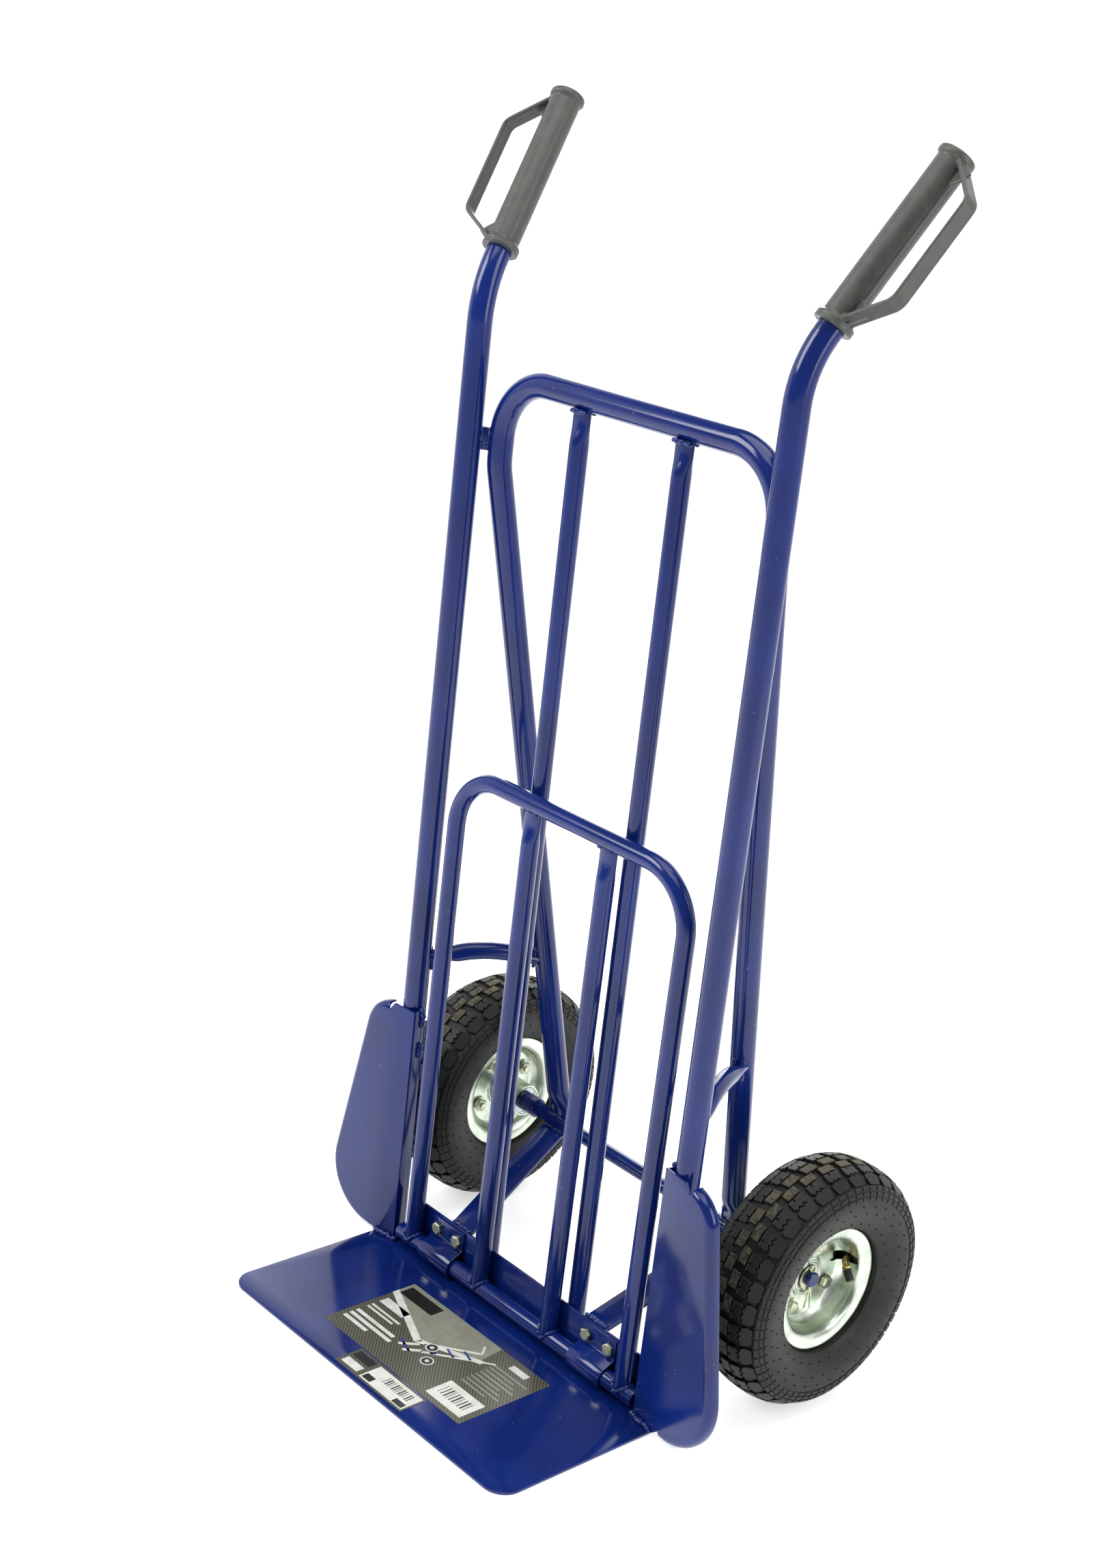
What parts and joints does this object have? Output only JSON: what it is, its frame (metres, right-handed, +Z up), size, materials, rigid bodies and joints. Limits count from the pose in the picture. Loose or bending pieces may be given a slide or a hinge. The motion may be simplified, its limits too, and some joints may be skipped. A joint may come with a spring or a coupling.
{
  "type": "hand truck",
  "caption": "Two-wheeled hand truck: bent tube frame with brace hoop and slats, toe plate with a folding extension frame, wheel guards, guarded hand grips and air-filled tyres.",
  "frame": {"origin": "on the floor, under the middle of the outer box", "axes": "+X across the truck to its right-hand wheel as seen from the toe-plate side looking back, -Y towards the toe plate's front edge, +Z up"},
  "size_m": [0.6044, 0.504, 1.238],
  "materials": {
    "powder_coat": "glossy dark blue powder coat",
    "grip_plastic": "moulded grey plastic, satin",
    "zinc_plate": "zinc plated",
    "tyre_rubber": "new black tyre rubber",
    "inner_tube_rubber": "smooth",
    "bearing_steel": "ground steel",
    "valve_brass": "machined"
  },
  "bodies": {
    "frame": {"brace_hoop": "powder_coat", "toe_plate": "powder_coat", "axle": "powder_coat", "left_upright": "powder_coat", "left_hoop_spacer": "powder_coat", "left_back_slat": "powder_coat", "left_strut": "powder_coat", "left_wheel_guard": "powder_coat", "left_hinge_strap": "powder_coat", "left_axle_support": "powder_coat", "left_grip": "grip_plastic", "left_washer": "zinc_plate", "left_cotter_pin": "zinc_plate", "right_upright": "powder_coat", "right_hoop_spacer": "powder_coat", "right_back_slat": "powder_coat", "right_strut": "powder_coat", "right_wheel_guard": "powder_coat", "right_hinge_strap": "powder_coat", "right_axle_support": "powder_coat", "right_grip": "grip_plastic", "right_washer": "zinc_plate", "right_cotter_pin": "zinc_plate", "hinge_bolt_1": "zinc_plate", "hinge_nut_1": "zinc_plate", "hinge_bolt_2": "zinc_plate", "hinge_nut_2": "zinc_plate", "hinge_bolt_3": "zinc_plate", "hinge_nut_3": "zinc_plate", "hinge_bolt_4": "zinc_plate", "hinge_nut_4": "zinc_plate"},
    "folding_frame": {"hinge_tube": "powder_coat", "folding_hoop": "powder_coat", "left_folding_bar": "powder_coat", "right_folding_bar": "powder_coat"},
    "left_wheel": {"left_tyre": "tyre_rubber", "left_inner_tube": "inner_tube_rubber", "left_outer_rim": "zinc_plate", "left_inner_rim": "zinc_plate", "left_hub": "zinc_plate", "left_outer_bearing": "bearing_steel", "left_inner_bearing": "bearing_steel", "left_valve": "valve_brass", "left_rim_bolt_1": "zinc_plate", "left_rim_bolt_2": "zinc_plate", "left_rim_bolt_3": "zinc_plate", "left_rim_bolt_4": "zinc_plate"},
    "right_wheel": {"right_tyre": "tyre_rubber", "right_inner_tube": "inner_tube_rubber", "right_outer_rim": "zinc_plate", "right_inner_rim": "zinc_plate", "right_hub": "zinc_plate", "right_outer_bearing": "bearing_steel", "right_inner_bearing": "bearing_steel", "right_valve": "valve_brass", "right_rim_bolt_1": "zinc_plate", "right_rim_bolt_2": "zinc_plate", "right_rim_bolt_3": "zinc_plate", "right_rim_bolt_4": "zinc_plate"}
  },
  "joints": [
    {"name": "folding_frame_hinge", "type": "hinge", "parent": "frame", "child": "folding_frame", "pos_m": [0, -0.048, 0.0161], "axis": [1, 0, 0], "range_deg": [0, 90]},
    {"name": "left_wheel_spin", "type": "hinge", "parent": "frame", "child": "left_wheel", "pos_m": [-0.246, 0.122, 0.13], "axis": [1, 0, 0], "continuous": true},
    {"name": "right_wheel_spin", "type": "hinge", "parent": "frame", "child": "right_wheel", "pos_m": [0.246, 0.122, 0.13], "axis": [1, 0, 0], "continuous": true}
  ]
}
